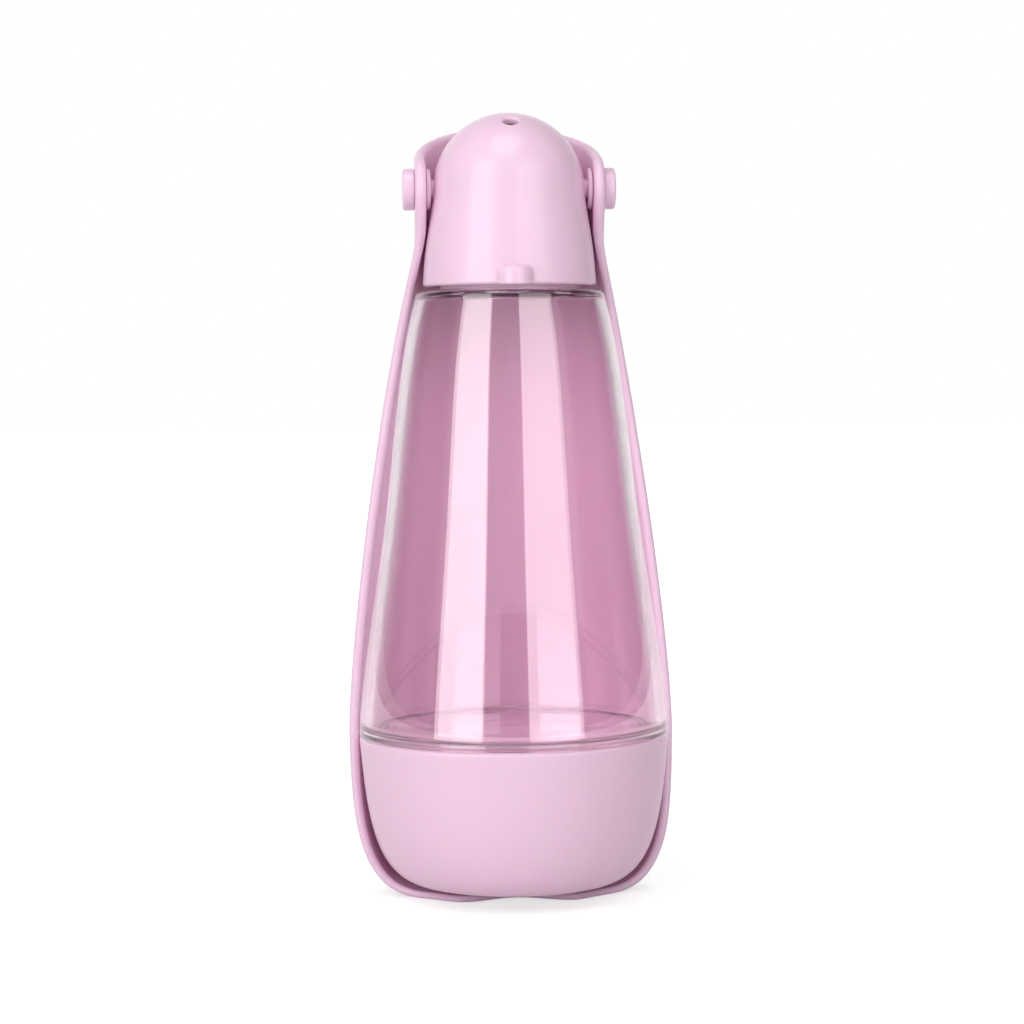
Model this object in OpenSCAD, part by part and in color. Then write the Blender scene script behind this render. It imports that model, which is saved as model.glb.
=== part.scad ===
// Dog travel water bottle: a clear tapered bottle with a domed twist head, a drinking trough that folds
// behind it and a food cup under it. Millimetres, +Z up, +Y to the back.
// The origin is on the floor, on the axis of the bottle.

/* [Bottle] */
// Outer diameter at the joint with the food cup
base_d = 94.4; // [90:0.2:100]
// Outer diameter at the waist
waist_d = 76.4; // [72:0.2:80]
// Outer diameter at the shoulder
shoulder_d = 58; // [56:0.2:62]
// Height of the clear body, from the joint to the shoulder
bottle_h = 135.2; // [120:0.2:150]
// Height of the waist above the joint
waist_h = 71.2; // [60:0.2:80]
// Wall of the clear body above its foot
base_wall = 3.6; // [2.6:0.1:4.6]
// Wall of the clear body at the shoulder
shoulder_wall = 2.6; // [2:0.1:3.2]
// Ledge inside the foot of the clear body, on top of the disc that closes it
foot_ledge = 1.9; // [1.2:0.1:2.4]
// Rounding of the shoulder's outer edge
shoulder_edge = 2.2; // [1:0.1:3]
// Thickness of the clear disc that closes the bottle
floor_t = 1.8; // [1.2:0.1:3]
// Bore of the neck
neck_bore_d = 30.2; // [26:0.2:31]
// Wall of the neck
neck_wall = 2.8; // [2:0.1:3.2]
// Height of the neck above the shoulder
neck_h = 16.2; // [15:0.2:18]

/* [Food cup] */
// Height of the food cup
cup_h = 45.3; // [40:0.1:54]
// Wall of the food cup
cup_wall = 2.3; // [1.8:0.1:2.8]
// Diameter of the cup's flat bottom
cup_foot_d = 52; // [44:0.5:54]
// Depth of the bottle's spigot inside the cup
spigot_h = 7.6; // [7:0.1:10]
// Wall of the spigot
spigot_wall = 2.2; // [1.6:0.1:2.6]
// Angle the cup turns to come free of its bayonet
cup_turn = 60; // [45:1:75]

/* [Head] */
// Radius of the dome
dome_r = 23; // [22:0.1:24]
// Outer diameter of the skirt's lower edge
skirt_d = 52.8; // [51:0.2:54]
// Height from the skirt's lower edge to the dome's centre
skirt_h = 29.5; // [29:0.1:34]
// Wall of the dome
dome_wall = 2.2; // [1.6:0.1:2.6]
// Diameter of the outlet hole
outlet_d = 4.6; // [3:0.1:6]
// Angle of the outlet hole forward of the dome's pole
outlet_tilt = 30; // [20:1:40]
// Width of the stop lug at the front of the skirt
lug_w = 11; // [8:0.2:14]
// Height of the stop lug
lug_h = 5.8; // [4:0.1:7]
// How far the stop lug stands out from the skirt's lower edge
lug_proud = 3.5; // [2.5:0.1:4.5]
// Angle the head turns to open the valve
head_turn = 90; // [60:1:100]

/* [Pivot pins] */
// Diameter of a pin's shank
pin_d = 6; // [4:0.1:7]
// Diameter of a pin's button head and of its washer
button_d = 12.6; // [11:0.1:13.4]
// Thickness of the button head
button_t = 3.5; // [2.5:0.1:4.5]
// Thickness of the washer
washer_t = 1.2; // [1:0.1:1.8]
// Depth of the shank in the head
pin_grip = 6.5; // [5:0.1:7]

/* [Drinking trough] */
// Wall of the trough along the bottle
trough_wall = 2.9; // [2.4:0.1:3.2]
// Wall of the trough at its ears and hood
ear_wall = 3.4; // [2.8:0.1:4]
// Thickness of the trough's toe under the cup
toe_t = 2; // [1.6:0.1:2.2]
// Gap between the trough and the bottle at the joint
trough_gap = 1.2; // [0.8:0.1:2]
// Gap between the trough and the bottle at the waist
waist_gap = 3.3; // [2.4:0.1:4.4]
// Radius of the rounded ears about the pins
ear_r = 9.6; // [8.5:0.1:11]
// Height of the hood's top above the pins, at the back
hood_rise = 21; // [14:0.1:22]
// Depth of the trough's rim behind the bottle's axis
rim_y = 9.5; // [6:0.1:12]
// Reach of the toe in front of the bottle's axis
toe_reach = 13; // [6:0.5:16]
// Depth of the notch between the toe's two lobes
notch_depth = 6; // [0:0.5:10]
// Width of the notch between the tips of the two lobes
notch_w = 34; // [24:1:44]
// Depth behind the bottle's axis to which the toe's front edge falls back at the sides
toe_fall = 4; // [0:0.5:8]
// Diameter of the flat foot under the toe
foot_d = 57; // [50:0.5:64]

/* [Clearances] */
// Gap between parts that turn on each other
run_gap = 0.3; // [0.2:0.05:0.4]
// Gap between the dome and the washer in each ear
washer_gap = 0.9; // [0.7:0.1:1.4]
// Radial clearance of a pin in its hole
pin_clearance = 0.05; // [0.02:0.01:0.1]
// Gap between the bottle's shoulder and the head
head_gap = 1.3; // [1:0.1:2]
// Gap under the food cup, which the toe passes through
cup_lift = 2.2; // [2:0.1:3]

/* [Hidden] */
$fn = 96;
over = 1;          // how far a cutting shape runs past what it cuts
curve_steps = 9;   // straight pieces in one stretch of an outline

pink = [0.94, 0.81, 0.90];
clear = [0.90, 0.86, 0.90, 0.4];
seal_white = [0.92, 0.92, 0.92];

// Heights of the stacked parts above the floor
cup_bottom = toe_t + cup_lift;
joint = cup_bottom + cup_h + run_gap;
waist = joint + waist_h;
shoulder = joint + bottle_h;
skirt_bottom = shoulder + head_gap;
pivot = skirt_bottom + skirt_h;
neck_top = shoulder + neck_h;

// Spigot, bayonet and cup seal
lip_edge = 0.8;
spigot_r = base_d / 2 - base_wall - foot_ledge + spigot_wall;
cup_bore_r = spigot_r + run_gap;
cup_lip = joint - run_gap;
bayonet_lugs = 3;
bayonet_angle = 14;
bayonet_reach = 1;
bayonet_h = 2;
bayonet_margin = 1.2;
bayonet_z = joint - spigot_h + bayonet_margin;
bayonet_r = spigot_r + bayonet_reach;
disc_clearance = 0.12;
seal_h = 1;
seal_w = 1.1;

// Closure on the neck
neck_r = neck_bore_d / 2 + neck_wall;
seal_t = 1.8;
collar_bore_r = neck_r + run_gap;
collar_wall = 2.9;
collar_r = collar_bore_r + collar_wall;
head_bore_r = collar_r + run_gap;
plate_bottom = neck_top + seal_t;
plate_t = 2.4;
plate_top = plate_bottom + plate_t;
collar_lift = 0.6;
collar_bottom = shoulder + collar_lift;
rib_reach = 1.6;
rib_lift = 5.7;
collar_rib_r = collar_r + rib_reach;
collar_rib_t = 2.3;
collar_rib_z = skirt_bottom + rib_lift;
snap_lip_t = 1.5;
snap_overlap = 0.7;
ring_d = 2;
ring_lift = 6.5;
ring_z = collar_rib_z + ring_lift;
ring_r = head_bore_r - pin_clearance - ring_d / 2;

// Valve
valve_t = 3;
valve_z = plate_top + run_gap / 2;
valve_r = head_bore_r - run_gap;
port_d = 6;
port_orbit = 9;
stop_orbit = 15.5;
stop_d = 3;
stop_angle = 135;
drive_w = 4;
drive_depth = 2.6;
ledge = valve_z + valve_t + run_gap;

// Pivot pins
boss_d = 11;
boss_floor = 1.8;
washer_clearance = 0.2;
ear_in_r = dome_r + washer_gap + washer_t + washer_clearance;
ear_out_r = ear_in_r + ear_wall;
grip_end = dome_r - pin_grip;

// Points of a curve from a to d that leaves a towards b and comes to d from c; d itself is left out
function curve(a, b, c, d, steps = curve_steps) =
    [for (i = [0 : steps - 1]) let (t = i / steps, s = 1 - t)
        s * s * s * a + 3 * s * s * t * b + 3 * s * t * t * c + t * t * t * d];

// Points of a quarter round, from the angle given, about a centre
function corner(centre, r, start, steps = 6) =
    [for (i = [0 : steps]) centre + r * [cos(start + 90 * i / steps), sin(start + 90 * i / steps)]];

function backwards(points) = [for (i = [len(points) - 1 : -1 : 0]) points[i]];

// Side of the clear body, from the joint up to the shoulder, moved in by a wall
side_lean = 0.115;
shoulder_lean = 0.275;
function bottle_side(low_wall, high_wall, top) =
    let (low = [base_d / 2 - low_wall, joint],
         middle = [waist_d / 2 - (low_wall + high_wall) / 2, waist],
         high = [shoulder_d / 2 - high_wall, top])
    concat(
        curve(low, low + [0, 0.21 * waist_h], middle + 0.29 * waist_h * [side_lean, -1], middle),
        curve(middle, middle + 0.44 * (top - waist) * [-side_lean, 1],
            high + 0.24 * (top - waist) * [shoulder_lean, -1], high),
        [high]);

// Side of the trough, from the joint up to the height where its ears stand upright
trough_lean = 0.137;
function trough_side(low_r, middle_r, high_r, upright) =
    let (low = [low_r, joint], middle = [middle_r, waist], high = [high_r, upright],
         rise = upright - waist)
    concat(
        curve(low, low + [0, 0.22 * waist_h], middle + 0.33 * waist_h * [trough_lean, -1], middle),
        curve(middle, middle + 0.65 * rise * [-trough_lean, 1], high - [0, 0.105 * rise], high),
        [high]);

// Rounded side of the cup, from its lip down to the flat bottom, moved in by a wall
cup_tuck = 1.9;
function cup_side(wall) =
    let (lip = [base_d / 2 - wall, cup_lip - lip_edge], foot = [cup_foot_d / 2 - wall / 2, cup_bottom + wall])
    concat(curve(lip, lip - [cup_tuck, 0.44 * cup_h], [0.937 * base_d / 2 - wall, foot[1]], foot), [foot]);

toe_tuck_out = 0.6;
toe_tuck_in = 0.5;
toe_step_in = 1;
trough_out_base = base_d / 2 + trough_gap + trough_wall;
trough_out_waist = waist_d / 2 + waist_gap + trough_wall;
toe_round = [
    [trough_out_base, joint],
    [trough_out_base - toe_tuck_out, 0.16 * joint],
    [0.8 * trough_out_base, 0],
    [foot_d / 2, 0]
];
toe_inside = [
    [trough_out_base - trough_wall, joint],
    [trough_out_base - trough_wall - toe_tuck_in, 0.22 * joint],
    [0.78 * trough_out_base, toe_t],
    [foot_d / 2 - toe_step_in, toe_t]
];

module bottle_body() {
    throat = shoulder - shoulder_wall;
    foot_edge = 1.3;
    outside = concat(
        [[spigot_r, joint - spigot_h], [spigot_r, joint]],
        corner([base_d / 2 - foot_edge, joint + foot_edge], foot_edge, -90),
        [for (p = bottle_side(0, 0, shoulder - shoulder_edge)) if (p[1] > joint + foot_edge) p],
        corner([shoulder_d / 2 - shoulder_edge, shoulder - shoulder_edge], shoulder_edge, 0),
        [[neck_r, shoulder], [neck_r, neck_top]]);
    ledge_top = joint + floor_t;
    wall_start = ledge_top + foot_ledge;
    inside = concat(
        [[spigot_r - spigot_wall, joint - spigot_h]],
        corner([spigot_r - spigot_wall, wall_start], foot_ledge, -90),
        [for (p = bottle_side(base_wall, shoulder_wall, throat - shoulder_edge)) if (p[1] > wall_start) p],
        corner([shoulder_d / 2 - shoulder_wall - shoulder_edge, throat - shoulder_edge], shoulder_edge, 0),
        [[neck_bore_d / 2, throat], [neck_bore_d / 2, neck_top]]);
    color(clear) {
        rotate_extrude() polygon(concat(outside, backwards(inside)));
        for (i = [0 : bayonet_lugs - 1])
            rotate([0, 0, i * 360 / bayonet_lugs - bayonet_angle / 2])
                rotate_extrude(angle = bayonet_angle)
                    translate([spigot_r - spigot_wall / 2, bayonet_z])
                        square([spigot_wall / 2 + bayonet_reach, bayonet_h]);
    }
}

module bottle_floor() {
    color(clear)
        translate([0, 0, joint])
            cylinder(r = spigot_r - spigot_wall - disc_clearance, h = floor_t);
}

module neck_seal() {
    color(seal_white)
        translate([0, 0, neck_top])
            difference() {
                cylinder(r = neck_r, h = seal_t);
                translate([0, 0, -over]) cylinder(d = neck_bore_d, h = seal_t + 2 * over);
            }
}

module screw_collar() {
    groove_half = ring_d / 2 + pin_clearance;
    groove_in_r = ring_r - groove_half;
    outline = [
        [collar_bore_r, collar_bottom], [collar_r, collar_bottom], [collar_r, collar_rib_z],
        [collar_rib_r, collar_rib_z], [collar_rib_r, collar_rib_z + collar_rib_t],
        [collar_r, collar_rib_z + collar_rib_t], [collar_r, ring_z - groove_half],
        [groove_in_r, ring_z - groove_half], [groove_in_r, ring_z + groove_half],
        [collar_r, ring_z + groove_half], [collar_r, plate_top], [0, plate_top],
        [0, plate_bottom], [collar_bore_r, plate_bottom]
    ];
    color(pink) {
        difference() {
            rotate_extrude() polygon(outline);
            translate([port_orbit, 0, plate_bottom - over]) cylinder(d = port_d, h = plate_t + 2 * over);
        }
        rotate([0, 0, stop_angle])
            translate([stop_orbit, 0, plate_top - plate_t / 2])
                cylinder(d = stop_d, h = plate_t / 2 + valve_t * 0.8);
    }
}

module collar_o_ring() {
    color(seal_white)
        rotate_extrude()
            translate([ring_r, ring_z])
                circle(d = ring_d);
}

module valve_disc() {
    slot_d = stop_d + 2 * run_gap;
    color(seal_white)
        difference() {
            translate([0, 0, valve_z]) cylinder(r = valve_r, h = valve_t);
            translate([0, -port_orbit, valve_z - over]) cylinder(d = port_d, h = valve_t + 2 * over);
            translate([0, 0, valve_z - over])
                rotate([0, 0, stop_angle - head_turn])
                    rotate_extrude(angle = head_turn)
                        translate([stop_orbit - slot_d / 2, 0])
                            square([slot_d, valve_t + 2 * over]);
            for (a = [stop_angle - head_turn, stop_angle])
                rotate([0, 0, a])
                    translate([stop_orbit, 0, valve_z - over])
                        cylinder(d = slot_d, h = valve_t + 2 * over);
            for (side = [-1, 1])
                translate([side * valve_r, 0, valve_z])
                    cube([2 * drive_depth + 2 * run_gap, drive_w + 2 * run_gap, 3 * valve_t], center = true);
        }
}

// Outline of the head's skirt, from the dome's equator down to the lower edge
skirt_swell = 0.2;
skirt_tuck = 0.8;
function skirt_side() =
    let (top = [dome_r, pivot], low = [skirt_d / 2, skirt_bottom])
    concat(curve(top, top + [skirt_swell, -0.2 * skirt_h], low + [-skirt_tuck, 0.54 * skirt_h], low), [low]);

module head_shell() {
    lip = 1;
    rib_groove_r = collar_rib_r + run_gap;
    mouth_r = rib_groove_r + snap_overlap;
    snap_lip_r = collar_rib_r - snap_overlap;
    hollow = [
        [0, skirt_bottom - over], [mouth_r, skirt_bottom - over],
        [mouth_r, collar_rib_z - snap_lip_t], [snap_lip_r, collar_rib_z - snap_lip_t],
        [snap_lip_r, collar_rib_z - run_gap], [rib_groove_r, collar_rib_z - run_gap],
        [rib_groove_r, collar_rib_z + collar_rib_t + run_gap],
        [head_bore_r, collar_rib_z + collar_rib_t + run_gap], [head_bore_r, ledge], [0, ledge]
    ];
    lug_r = lug_w / 2;
    lug_edge = 1.5;
    color(pink)
        difference() {
            union() {
                difference() {
                    union() {
                        translate([0, 0, pivot])
                            difference() {
                                sphere(r = dome_r);
                                translate([0, 0, -dome_r]) cube(2 * dome_r, center = true);
                            }
                        rotate_extrude()
                            difference() {
                                polygon(concat([[0, pivot]], skirt_side(), [[0, skirt_bottom]]));
                                translate([skirt_d / 2, skirt_bottom])
                                    difference() {
                                        square(2 * lip, center = true);
                                        translate([-lip, lip]) circle(r = lip);
                                    }
                            }
                        translate([0, lug_r - skirt_d / 2 - lug_proud, skirt_bottom])
                            rotate_extrude()
                                polygon(concat([[0, 0], [lug_r, 0]],
                                    corner([lug_r - lug_edge, lug_h - lug_edge], lug_edge, 0), [[0, lug_h]]));
                    }
                    rotate_extrude() polygon(hollow);
                    intersection() {
                        translate([0, 0, pivot]) sphere(r = dome_r - dome_wall);
                        translate([0, 0, ledge - over]) cylinder(r = dome_r, h = 2 * dome_r);
                    }
                }
                for (side = [0, 180])
                    rotate([0, 0, side]) {
                        translate([grip_end - boss_floor, 0, pivot])
                            rotate([0, 90, 0])
                                cylinder(d = boss_d, h = boss_floor + pin_grip - dome_wall / 2);
                        translate([valve_r - drive_depth, -drive_w / 2, valve_z + run_gap])
                            cube([drive_depth + 2 * run_gap, drive_w, pivot - valve_z - run_gap]);
                    }
            }
            for (side = [0, 180])
                rotate([0, 0, side])
                    translate([grip_end, 0, pivot])
                        rotate([0, 90, 0])
                            cylinder(d = pin_d + 2 * pin_clearance, h = pin_grip + over);
            translate([0, 0, pivot])
                rotate([outlet_tilt, 0, 0])
                    cylinder(d = outlet_d, h = dome_r + over);
        }
}

// A pin lies along +X: its shank grips the head and its button head holds the trough's ear
module pivot_pin() {
    button_edge = 0.9;
    shank_start = grip_end + run_gap;
    button_start = ear_out_r + pin_clearance;
    translate([0, 0, pivot])
        rotate([0, 90, 0])
            rotate_extrude()
                polygon(concat(
                    [[0, shank_start], [pin_d / 2, shank_start], [pin_d / 2, button_start],
                        [button_d / 2, button_start]],
                    corner([button_d / 2 - button_edge, button_start + button_t - button_edge],
                        button_edge, 0),
                    [[0, button_start + button_t]]));
}

module pivot_washer() {
    washer_edge = 0.5;
    outer_face = ear_in_r - washer_clearance;
    translate([0, 0, pivot])
        rotate([0, 90, 0])
            rotate_extrude()
                polygon([
                    [pin_d / 2 + pin_clearance, outer_face - washer_t],
                    [button_d / 2 - washer_edge, outer_face - washer_t],
                    [button_d / 2, outer_face - washer_t + washer_edge],
                    [button_d / 2, outer_face],
                    [pin_d / 2 + pin_clearance, outer_face]
                ]);
}

module pivot_pin_left() {
    color(pink) rotate([0, 0, 180]) pivot_pin();
}

module pivot_pin_right() {
    color(pink) pivot_pin();
}

module pivot_washer_left() {
    color(pink) rotate([0, 0, 180]) pivot_washer();
}

module pivot_washer_right() {
    color(pink) pivot_washer();
}

// Angle about the pivot at which a straight line through a point touches the ear's round edge
function touch_angle(point, side) =
    let (from_pivot = point - [0, pivot])
    atan2(from_pivot[1], from_pivot[0]) + side * acos(ear_r / norm(from_pivot));

// Side view of the trough: first coordinate to the back, second one up
rim_turn_rise = 12;
module trough_outline() {
    hood_top = [ear_out_r, pivot + hood_rise];
    neck_point = [0.25 * rim_y, pivot - 2.8 * ear_r];
    hood_angle = touch_angle(hood_top, 1);
    rim_angle = 360 + touch_angle(neck_point, -1);
    ear_steps = 10;
    ear = [for (i = [0 : ear_steps]) let (a = hood_angle + (rim_angle - hood_angle) * i / ear_steps)
        [0, pivot] + ear_r * [cos(a), sin(a)]];
    hood_slope = (hood_top[1] - ear[0][1]) / (hood_top[0] - ear[0][0]);
    rim_turn = joint + rim_turn_rise;
    far_back = trough_out_base + 2 * over;
    polygon(concat(
        [for (i = [0 : ear_steps - 1]) ear[i]],
        curve(ear[ear_steps], neck_point, [rim_y, pivot - 4.9 * ear_r], [rim_y, waist]),
        [[rim_y, waist]],
        curve([rim_y, rim_turn], [rim_y, 0.5 * joint], [0.2 * rim_y, 0.12 * joint], [-toe_reach, toe_t]),
        [[-toe_reach, toe_t], [-toe_reach - over, -over], [far_back, -over],
            [far_back, hood_top[1] + hood_slope * (far_back - hood_top[0])]]));
}

// Plan view of what is left of the toe: two round lobes with a notch between them
module toe_lobes() {
    far = trough_out_base + over;
    tip = notch_w / 2;
    notch_steps = 12;
    right_side = concat(
        curve([tip, -toe_reach], [1.35 * tip, -toe_reach], [1.6 * tip, 0], [far, toe_fall]),
        [[far, toe_fall]]);
    polygon(concat(
        [[far, far], [-far, far]],
        backwards([for (p = right_side) [-p[0], p[1]]]),
        [for (i = [1 - notch_steps : notch_steps - 1])
            [tip * i / notch_steps, -toe_reach + notch_depth * (1 + cos(180 * i / notch_steps)) / 2]],
        right_side));
}

// Section of the trough on one side of the axis: radius and height
function trough_section() =
    let (top = pivot + 2 * hood_rise,
         outside = concat(
            [[0, 0]],
            backwards(concat(curve(toe_round[0], toe_round[1], toe_round[2], toe_round[3]), [toe_round[3]])),
            [for (p = trough_side(trough_out_base, trough_out_waist, ear_out_r, pivot - 1.55 * ear_r))
                if (p[1] > joint) p],
            [[ear_out_r, top]]),
         inside = concat(
            [[0, toe_t]],
            backwards(concat(curve(toe_inside[0], toe_inside[1], toe_inside[2], toe_inside[3]),
                [toe_inside[3]])),
            [for (p = trough_side(trough_out_base - trough_wall, trough_out_waist - trough_wall, ear_in_r,
                pivot - 1.2 * ear_r))
                if (p[1] > joint) p],
            [[ear_in_r, top]]))
    concat(outside, backwards(inside));

module drinking_trough() {
    front = toe_reach + over;
    color(pink)
        difference() {
            intersection() {
                union() {
                    rotate_extrude(angle = 180) polygon(trough_section());
                    for (side = [0, 1])
                        mirror([side, 0, 0])
                            rotate([90, 0, 0])
                                linear_extrude(height = front)
                                    polygon(trough_section());
                }
                rotate([90, 0, 90])
                    linear_extrude(height = 3 * trough_out_base, center = true)
                        trough_outline();
                union() {
                    linear_extrude(height = waist) toe_lobes();
                    translate([0, 0, waist + pivot / 2]) cube([4 * ear_out_r, 4 * ear_out_r, pivot], center = true);
                }
            }
            translate([0, 0, pivot])
                rotate([0, 90, 0])
                    cylinder(d = pin_d + 2 * pin_clearance, h = 3 * ear_out_r, center = true);
            for (side = [0, 180])
                rotate([0, 0, side])
                    translate([dome_r, 0, pivot])
                        rotate([0, 90, 0])
                            cylinder(d = button_d + 2 * run_gap, h = ear_in_r - dome_r);
        }
}

module food_cup() {
    groove_r = bayonet_r + run_gap;
    entry_r = groove_r - pin_clearance;
    entry_angle = bayonet_angle + 4;
    groove_low = bayonet_z - run_gap;
    groove_high = bayonet_z + bayonet_h + run_gap;
    seal_r = spigot_r + seal_w + run_gap;
    seal_low = joint - seal_h - run_gap;
    outside = concat(
        [[0, cup_lip]],
        backwards(corner([base_d / 2 - lip_edge, cup_lip - lip_edge], lip_edge, 0)),
        [for (p = cup_side(0)) if (p[1] < cup_lip - lip_edge) p],
        [[0, cup_bottom]]);
    inside = concat(
        [[0, cup_lip + over], [seal_r, cup_lip + over], [seal_r, seal_low], [cup_bore_r, seal_low],
            [cup_bore_r, groove_high], [groove_r, groove_high], [groove_r, groove_low],
            [cup_bore_r, groove_low], [cup_bore_r, groove_low - over]],
        [for (p = cup_side(cup_wall)) if (p[1] < groove_low - 2 * over) p],
        [[0, cup_bottom + cup_wall]]);
    color(pink)
        difference() {
            rotate_extrude() polygon(outside);
            rotate_extrude() polygon(inside);
            for (i = [0 : bayonet_lugs - 1])
                rotate([0, 0, i * 360 / bayonet_lugs - cup_turn - entry_angle / 2])
                    rotate_extrude(angle = entry_angle)
                        translate([cup_bore_r - over, bayonet_z])
                            square([entry_r - cup_bore_r + over, cup_lip - bayonet_z + over]);
        }
}

module cup_seal() {
    color(seal_white)
        translate([0, 0, joint - seal_h])
            difference() {
                cylinder(r = spigot_r + seal_w, h = seal_h);
                translate([0, 0, -over]) cylinder(r = spigot_r + pin_clearance, h = seal_h + 2 * over);
            }
}

bottle_body();
bottle_floor();
neck_seal();
screw_collar();
collar_o_ring();
valve_disc();
head_shell();
pivot_pin_left();
pivot_pin_right();
pivot_washer_left();
pivot_washer_right();
drinking_trough();
food_cup();
cup_seal();
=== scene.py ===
# Dog travel water bottle, dressed for Blender 4.5: a clear tapered bottle with a domed twist head, a drinking
# trough folded behind it and a food cup under it. Metres, in the part's own frame: +Z up, +Y to the back.
import math

import bmesh
import bpy
from mathutils import Matrix, Vector


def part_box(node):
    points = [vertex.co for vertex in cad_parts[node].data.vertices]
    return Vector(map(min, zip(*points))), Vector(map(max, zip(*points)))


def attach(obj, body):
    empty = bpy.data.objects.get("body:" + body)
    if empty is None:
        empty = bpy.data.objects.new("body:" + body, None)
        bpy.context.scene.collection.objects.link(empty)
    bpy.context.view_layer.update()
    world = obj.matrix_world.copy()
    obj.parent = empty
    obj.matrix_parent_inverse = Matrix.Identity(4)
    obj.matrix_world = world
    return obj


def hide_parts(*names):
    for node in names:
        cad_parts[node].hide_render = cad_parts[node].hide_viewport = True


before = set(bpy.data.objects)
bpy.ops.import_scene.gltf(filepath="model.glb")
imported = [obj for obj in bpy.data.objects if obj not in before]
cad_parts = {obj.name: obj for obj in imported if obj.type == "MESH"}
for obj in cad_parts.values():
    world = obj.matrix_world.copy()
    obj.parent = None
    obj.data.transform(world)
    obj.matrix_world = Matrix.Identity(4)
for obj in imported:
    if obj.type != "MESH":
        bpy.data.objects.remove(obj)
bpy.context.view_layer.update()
MM = 0.001


# Clear bottle body.
# The water bottle itself: one blow-moulded and trimmed body of clear copolyester with a thick wall, a turned-
# in shoulder, a neck that goes up into the head, and a spigot with three bayonet lugs that the cup locks on.
def curve(a, b, c, d, steps=28):
    """Points of a curve from a to d that leaves a towards b and comes to d from c; d itself is left out."""
    points = []
    for i in range(steps):
        t = i / steps
        s = 1 - t
        points.append(tuple(s**3 * p + 3 * s * s * t * q + 3 * s * t * t * r + t**3 * e
                            for p, q, r, e in zip(a, b, c, d)))
    return points


def corner(centre, radius, start, turn=90, steps=6):
    """Points of an arc about a centre, from an angle and through a turn in degrees."""
    angles = [math.radians(start + turn * i / steps) for i in range(steps + 1)]
    return [(centre[0] + radius * math.cos(a), centre[1] + radius * math.sin(a)) for a in angles]


def finer(outline, longest, closed):
    """The outline with its long straight runs cut into steps, so that the mesh is even."""
    points = []
    ends = outline[1:] + (outline[:1] if closed else [])
    for start, end in zip(outline, ends):
        steps = max(1, math.ceil(math.dist(start, end) / longest))
        points += [tuple(p + (q - p) * i / steps for p, q in zip(start, end)) for i in range(steps)]
    return points if closed else points + outline[-1:]


sharp_angle = math.radians(35)


def new_piece(name, bm, body):
    """Makes a smooth-shaded piece from a bmesh, in millimetres until now, and lets it ride on a body."""
    bmesh.ops.scale(bm, vec=(MM, MM, MM), verts=bm.verts)
    for face in bm.faces:
        face.smooth = True
    mesh = bpy.data.meshes.new(name)
    bm.to_mesh(mesh)
    bm.free()
    mesh.set_sharp_from_angle(angle=sharp_angle)
    piece = bpy.data.objects.new(name, mesh)
    bpy.context.scene.collection.objects.link(piece)
    if body:
        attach(piece, body)
    return piece


def turned(outline, closed=False, steps=192, longest=1.5, start=0, angle=360):
    """A bmesh made by turning an outline of radius and height about the bottle's axis. An open outline starts
    and ends on the axis."""
    bm = bmesh.new()
    points = finer(outline, longest, closed)
    first = math.radians(start)
    verts = [bm.verts.new((r * math.cos(first), r * math.sin(first), z)) for r, z in points]
    pairs = list(zip(verts, verts[1:])) + ([(verts[-1], verts[0])] if closed else [])
    edges = [bm.edges.new(pair) for pair in pairs]
    whole = angle == 360
    ends = bmesh.ops.spin(bm, geom=verts + edges, cent=(0, 0, 0), axis=(0, 0, 1), dvec=(0, 0, 0),
                          angle=math.radians(angle), steps=steps, use_merge=whole)
    if not whole:
        last = [e for e in ends["geom_last"] if isinstance(e, bmesh.types.BMEdge)]
        bmesh.ops.edgeloop_fill(bm, edges=edges)
        bmesh.ops.edgeloop_fill(bm, edges=last)
    bmesh.ops.remove_doubles(bm, verts=bm.verts, dist=0.001)
    bmesh.ops.recalc_face_normals(bm, faces=bm.faces)
    return bm


def combine(piece, tool, operation):
    """Cuts a tool out of a piece or joins it on, and takes the tool away."""
    step = piece.modifiers.new(operation, "BOOLEAN")
    step.operation = operation
    step.solver = "EXACT"
    step.object = tool
    result = bpy.data.meshes.new_from_object(piece.evaluated_get(bpy.context.evaluated_depsgraph_get()))
    piece.modifiers.clear()
    result.name = piece.name
    result.set_sharp_from_angle(angle=sharp_angle)
    piece.data = result
    bpy.data.objects.remove(tool)


def linear(hex_colour):
    """An sRGB hex colour as linear red, green, blue and alpha."""
    parts = [int(hex_colour[i:i + 2], 16) / 255 for i in (1, 3, 5)]
    return tuple(p / 12.92 if p <= 0.04045 else ((p + 0.055) / 1.055) ** 2.4 for p in parts) + (1,)


def add(material, kind, settings=(), links=()):
    """Adds a node to a material, sets its properties and sockets, and links sockets to its inputs."""
    node = material.node_tree.nodes.new(kind)
    for key, value in dict(settings).items():
        if isinstance(key, str) and hasattr(node, key):
            setattr(node, key, value)
        else:
            node.inputs[key].default_value = value
    for key, socket in dict(links).items():
        material.node_tree.links.new(socket, node.inputs[key])
    return node


def new_material(name):
    """An empty material with its output node."""
    material = bpy.data.materials.new(name)
    material.use_nodes = True
    material.node_tree.nodes.clear()
    return material, add(material, "ShaderNodeOutputMaterial")


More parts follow.
